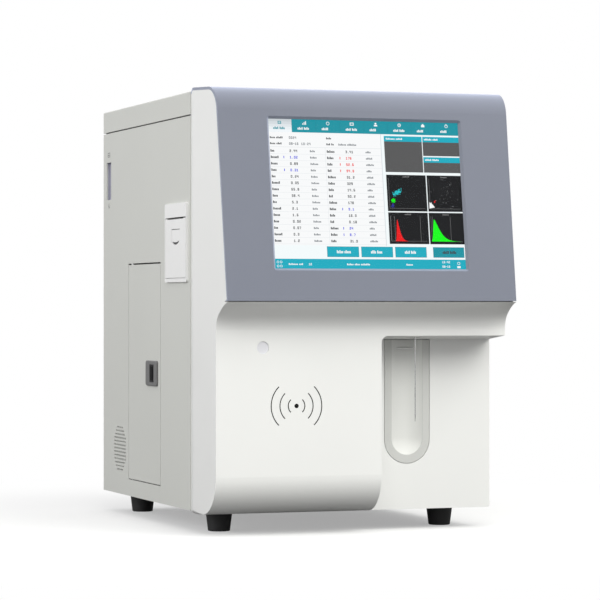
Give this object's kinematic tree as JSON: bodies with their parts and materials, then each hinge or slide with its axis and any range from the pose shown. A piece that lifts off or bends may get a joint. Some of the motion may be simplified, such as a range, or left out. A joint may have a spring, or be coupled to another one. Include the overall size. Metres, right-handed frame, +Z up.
{
  "type": "hematology analyzer",
  "caption": "Bench-top blood cell analyser: white moulded front with slanted touch screen, open sampling bay with a probe, sheet metal case, side printer and reagent door.",
  "frame": {"origin": "middle of the bounding box, on the bench under the feet", "axes": "+Z up, -Y the way the screen and the sampling bay face, +X to the right of a person facing the screen"},
  "size_m": [0.3266, 0.4704, 0.4633],
  "materials": {
    "cover_white": "fine satin moulding",
    "bezel_grey_blue": "fine texture",
    "screen_glass": "clear, slightly glossy",
    "lcd": "lit picture behind glass",
    "zinc_sheet": "zinc plated sheet",
    "lens_plastic": "diffusing lens",
    "key_white": "satin moulding",
    "polished_steel": "ground and polished",
    "black_plastic": "moulded",
    "machined_aluminium": "machined",
    "clear_acrylic": "clear machined block",
    "valve_ceramic": "lapped ceramic",
    "case_paint": "fine textured paint",
    "foot_rubber": "black rubber",
    "latch_grey": "moulded",
    "tray_plastic": "folded and welded",
    "bottle_plastic": "milky",
    "cap_green": "ribbed cap",
    "printer_white": "moulded",
    "roller_rubber": "ground rubber",
    "paper": "plain paper roll",
    "contact_metal": "plated",
    "spigot_grey": "moulded",
    "syringe_glass": "clear barrel",
    "plunger_white": "machined",
    "valve_grey": "moulded",
    "tank_plastic": "moulded",
    "pump_metal": "cast",
    "supply_case": "sheet case",
    "board_green": "circuit board",
    "laser_black": "anodised"
  },
  "bodies": {
    "case": {"front_cover": "cover_white", "display_bezel": "bezel_grey_blue", "touch_glass": "screen_glass", "lcd_panel": "lcd", "display_bracket": "zinc_sheet", "inner_frame": "zinc_sheet", "base_tray": "zinc_sheet", "syringe_frame": "zinc_sheet", "lift_frame": "zinc_sheet", "indicator_lenses": "lens_plastic", "hinge_pins": "polished_steel", "guide_rods": "polished_steel", "door_pivots": "polished_steel", "start_switch": "black_plastic", "stepper_motors": "black_plastic", "socket_bay": "black_plastic", "fan_frame": "black_plastic", "power_entry": "black_plastic", "print_head": "black_plastic", "optics_base": "machined_aluminium", "optics_blocks": "machined_aluminium", "wash_block": "clear_acrylic", "count_baths": "clear_acrylic", "sample_valve": "valve_ceramic", "top_cover": "case_paint", "left_panel": "case_paint", "right_panel": "case_paint", "rear_panel": "case_paint", "feet": "foot_rubber", "reagent_tray": "tray_plastic", "reagent_bottles": "bottle_plastic", "bottle_caps": "cap_green", "printer_body": "printer_white", "paper_roll": "paper", "metal_contacts": "contact_metal", "rear_screws": "contact_metal", "hose_spigots": "spigot_grey", "syringe_barrels": "syringe_glass", "valve_bank": "valve_grey", "vacuum_tank": "tank_plastic", "air_pump": "pump_metal", "power_supply": "supply_case", "main_board": "board_green", "laser_tube": "laser_black"},
    "key": {"start_key": "key_white"},
    "lift_screw": {"lift_screw": "polished_steel"},
    "probe": {"probe_carrier": "machined_aluminium", "sampling_probe": "polished_steel"},
    "valve_rotor": {"valve_rotor": "valve_ceramic"},
    "door": {"side_door": "case_paint", "latch_frame": "latch_grey"},
    "latch": {"latch_slider": "latch_grey"},
    "printer_lid": {"printer_lid": "printer_white"},
    "release_tab": {"release_tab": "printer_white"},
    "platen": {"platen_roller": "roller_rubber"},
    "feed_key": {"feed_key": "printer_white"},
    "fan_rotor": {"fan_rotor": "black_plastic"},
    "power_rocker": {"power_rocker": "black_plastic"},
    "syringe_carriage": {"syringe_carriage": "plunger_white"},
    "syringe_screw": {"syringe_screw": "polished_steel"}
  },
  "joints": [
    {"name": "start_key_press", "type": "hinge", "parent": "case", "child": "key", "pos_m": [0.0674, -0.1489, 0.1914], "axis": [1, 0, 0], "range_deg": [0, 2]},
    {"name": "probe_lift", "type": "slide", "parent": "case", "child": "probe", "axis": [0, 0, 1], "range_m": [0, 0.092]},
    {"name": "lift_screw_turn", "type": "hinge", "parent": "case", "child": "lift_screw", "pos_m": [0.0674, -0.1498, 0.236], "axis": [0, 0, 1], "range_deg": [0, 4140]},
    {"name": "valve_turn", "type": "hinge", "parent": "case", "child": "valve_rotor", "pos_m": [-0.03, -0.1353, 0.285], "axis": [0, 1, 0], "range_deg": [0, 24]},
    {"name": "side_door_swing", "type": "hinge", "parent": "case", "child": "door", "pos_m": [-0.1578, 0.1098, 0.163], "axis": [0, 0, -1], "range_deg": [0, 110]},
    {"name": "latch_slide", "type": "slide", "parent": "door", "child": "latch", "axis": [0, -1, 0], "range_m": [0, 0.005]},
    {"name": "printer_lid_swing", "type": "hinge", "parent": "case", "child": "printer_lid", "pos_m": [-0.16205, -0.07085, 0.2685], "axis": [0, -1, 0], "range_deg": [0, 70]},
    {"name": "release_tab_lift", "type": "hinge", "parent": "printer_lid", "child": "release_tab", "pos_m": [-0.1624, -0.07135, 0.3171], "axis": [0, 1, 0], "range_deg": [0, 18]},
    {"name": "platen_spin", "type": "hinge", "parent": "printer_lid", "child": "platen", "pos_m": [-0.154, -0.07085, 0.3225], "axis": [0, 1, 0], "range_deg": [-180, 180]},
    {"name": "feed_key_press", "type": "slide", "parent": "case", "child": "feed_key", "axis": [1, 0, 0], "range_m": [0, 0.0008]},
    {"name": "fan_spin", "type": "hinge", "parent": "case", "child": "fan_rotor", "pos_m": [0.095, 0.2082, 0.368], "axis": [0, 1, 0], "range_deg": [-180, 180]},
    {"name": "power_rocker_tilt", "type": "hinge", "parent": "case", "child": "power_rocker", "pos_m": [0.062, 0.2212, 0.101], "axis": [1, 0, 0], "range_deg": [-8, 8]},
    {"name": "syringe_draw", "type": "slide", "parent": "case", "child": "syringe_carriage", "axis": [0, 0, -1], "range_m": [0, 0.04]},
    {"name": "syringe_screw_turn", "type": "hinge", "parent": "case", "child": "syringe_screw", "pos_m": [0.076, -0.0928, 0.143], "axis": [0, 0, 1], "range_deg": [0, 3600]}
  ],
  "couplings": [
    {"joint": "lift_screw_turn", "follows": "probe_lift", "rad_per_m": 785.4},
    {"joint": "syringe_screw_turn", "follows": "syringe_draw", "rad_per_m": 1570.8}
  ]
}
